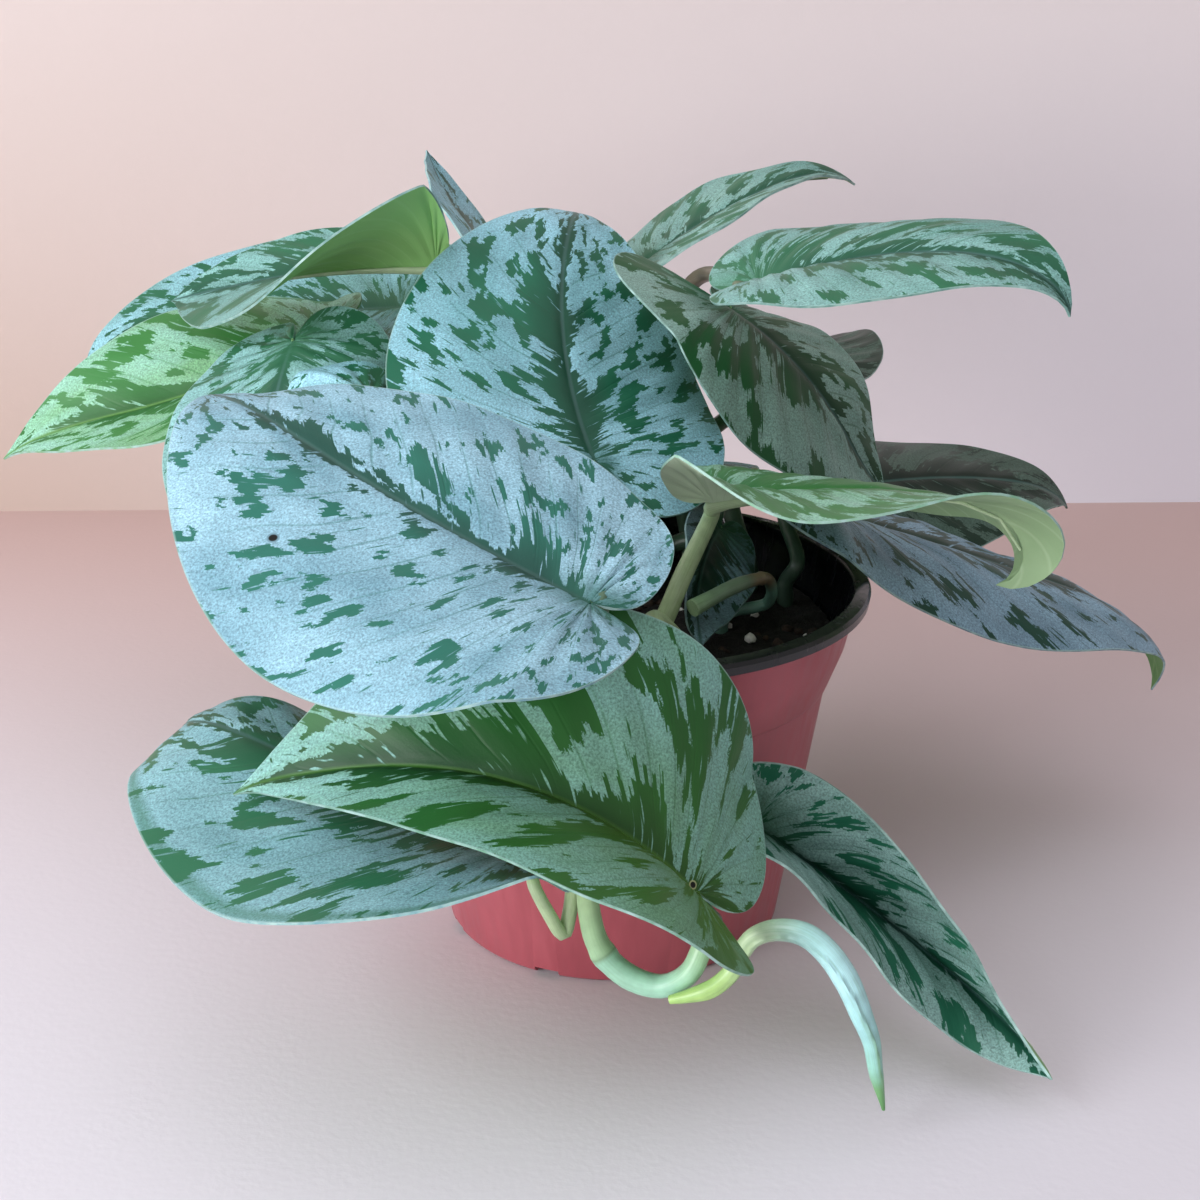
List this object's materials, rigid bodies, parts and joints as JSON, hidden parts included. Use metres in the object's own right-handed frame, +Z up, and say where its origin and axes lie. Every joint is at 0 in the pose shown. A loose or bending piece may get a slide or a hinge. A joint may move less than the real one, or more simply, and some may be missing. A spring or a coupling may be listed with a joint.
{
  "type": "satin pothos in a nursery pot",
  "caption": "Potted trailing house plant with heart-shaped, silver-splashed leaves on bent stalks, set in potting mix in a thin round nursery pot.",
  "frame": {"origin": "centre of the pot's flat underside, on the surface that it stands on", "axes": "+Z up, -Y towards the front of the plant, where the large leaf and the trailing stem hang over the rim"},
  "size_m": [0.3389, 0.3097, 0.1805],
  "materials": {
    "pot": "satin",
    "soil": "rough",
    "leaf": "satin",
    "stem": "satin"
  },
  "bodies": {
    "root": {"pot": "pot", "soil": "soil", "leaf_front_large": "leaf", "leaf_centre": "leaf", "leaf_right_centre": "leaf", "leaf_top_right": "leaf", "leaf_right_front": "leaf", "leaf_top_back": "leaf", "leaf_right_low": "leaf", "leaf_right_back": "leaf", "leaf_back_small": "leaf", "leaf_left_fold": "leaf", "leaf_left_back": "leaf", "leaf_back_upright": "leaf", "leaf_left_far": "leaf", "leaf_left_mid": "leaf", "leaf_left_under": "leaf", "leaf_lower_front": "leaf", "leaf_lower_left": "leaf", "leaf_lower_right": "leaf", "leaf_inner": "leaf", "leaf_rear_left": "leaf", "leaf_rear_right": "leaf", "stem_front": "stem", "leaf_new": "stem", "stem_stub": "stem"}
  },
  "joints": []
}
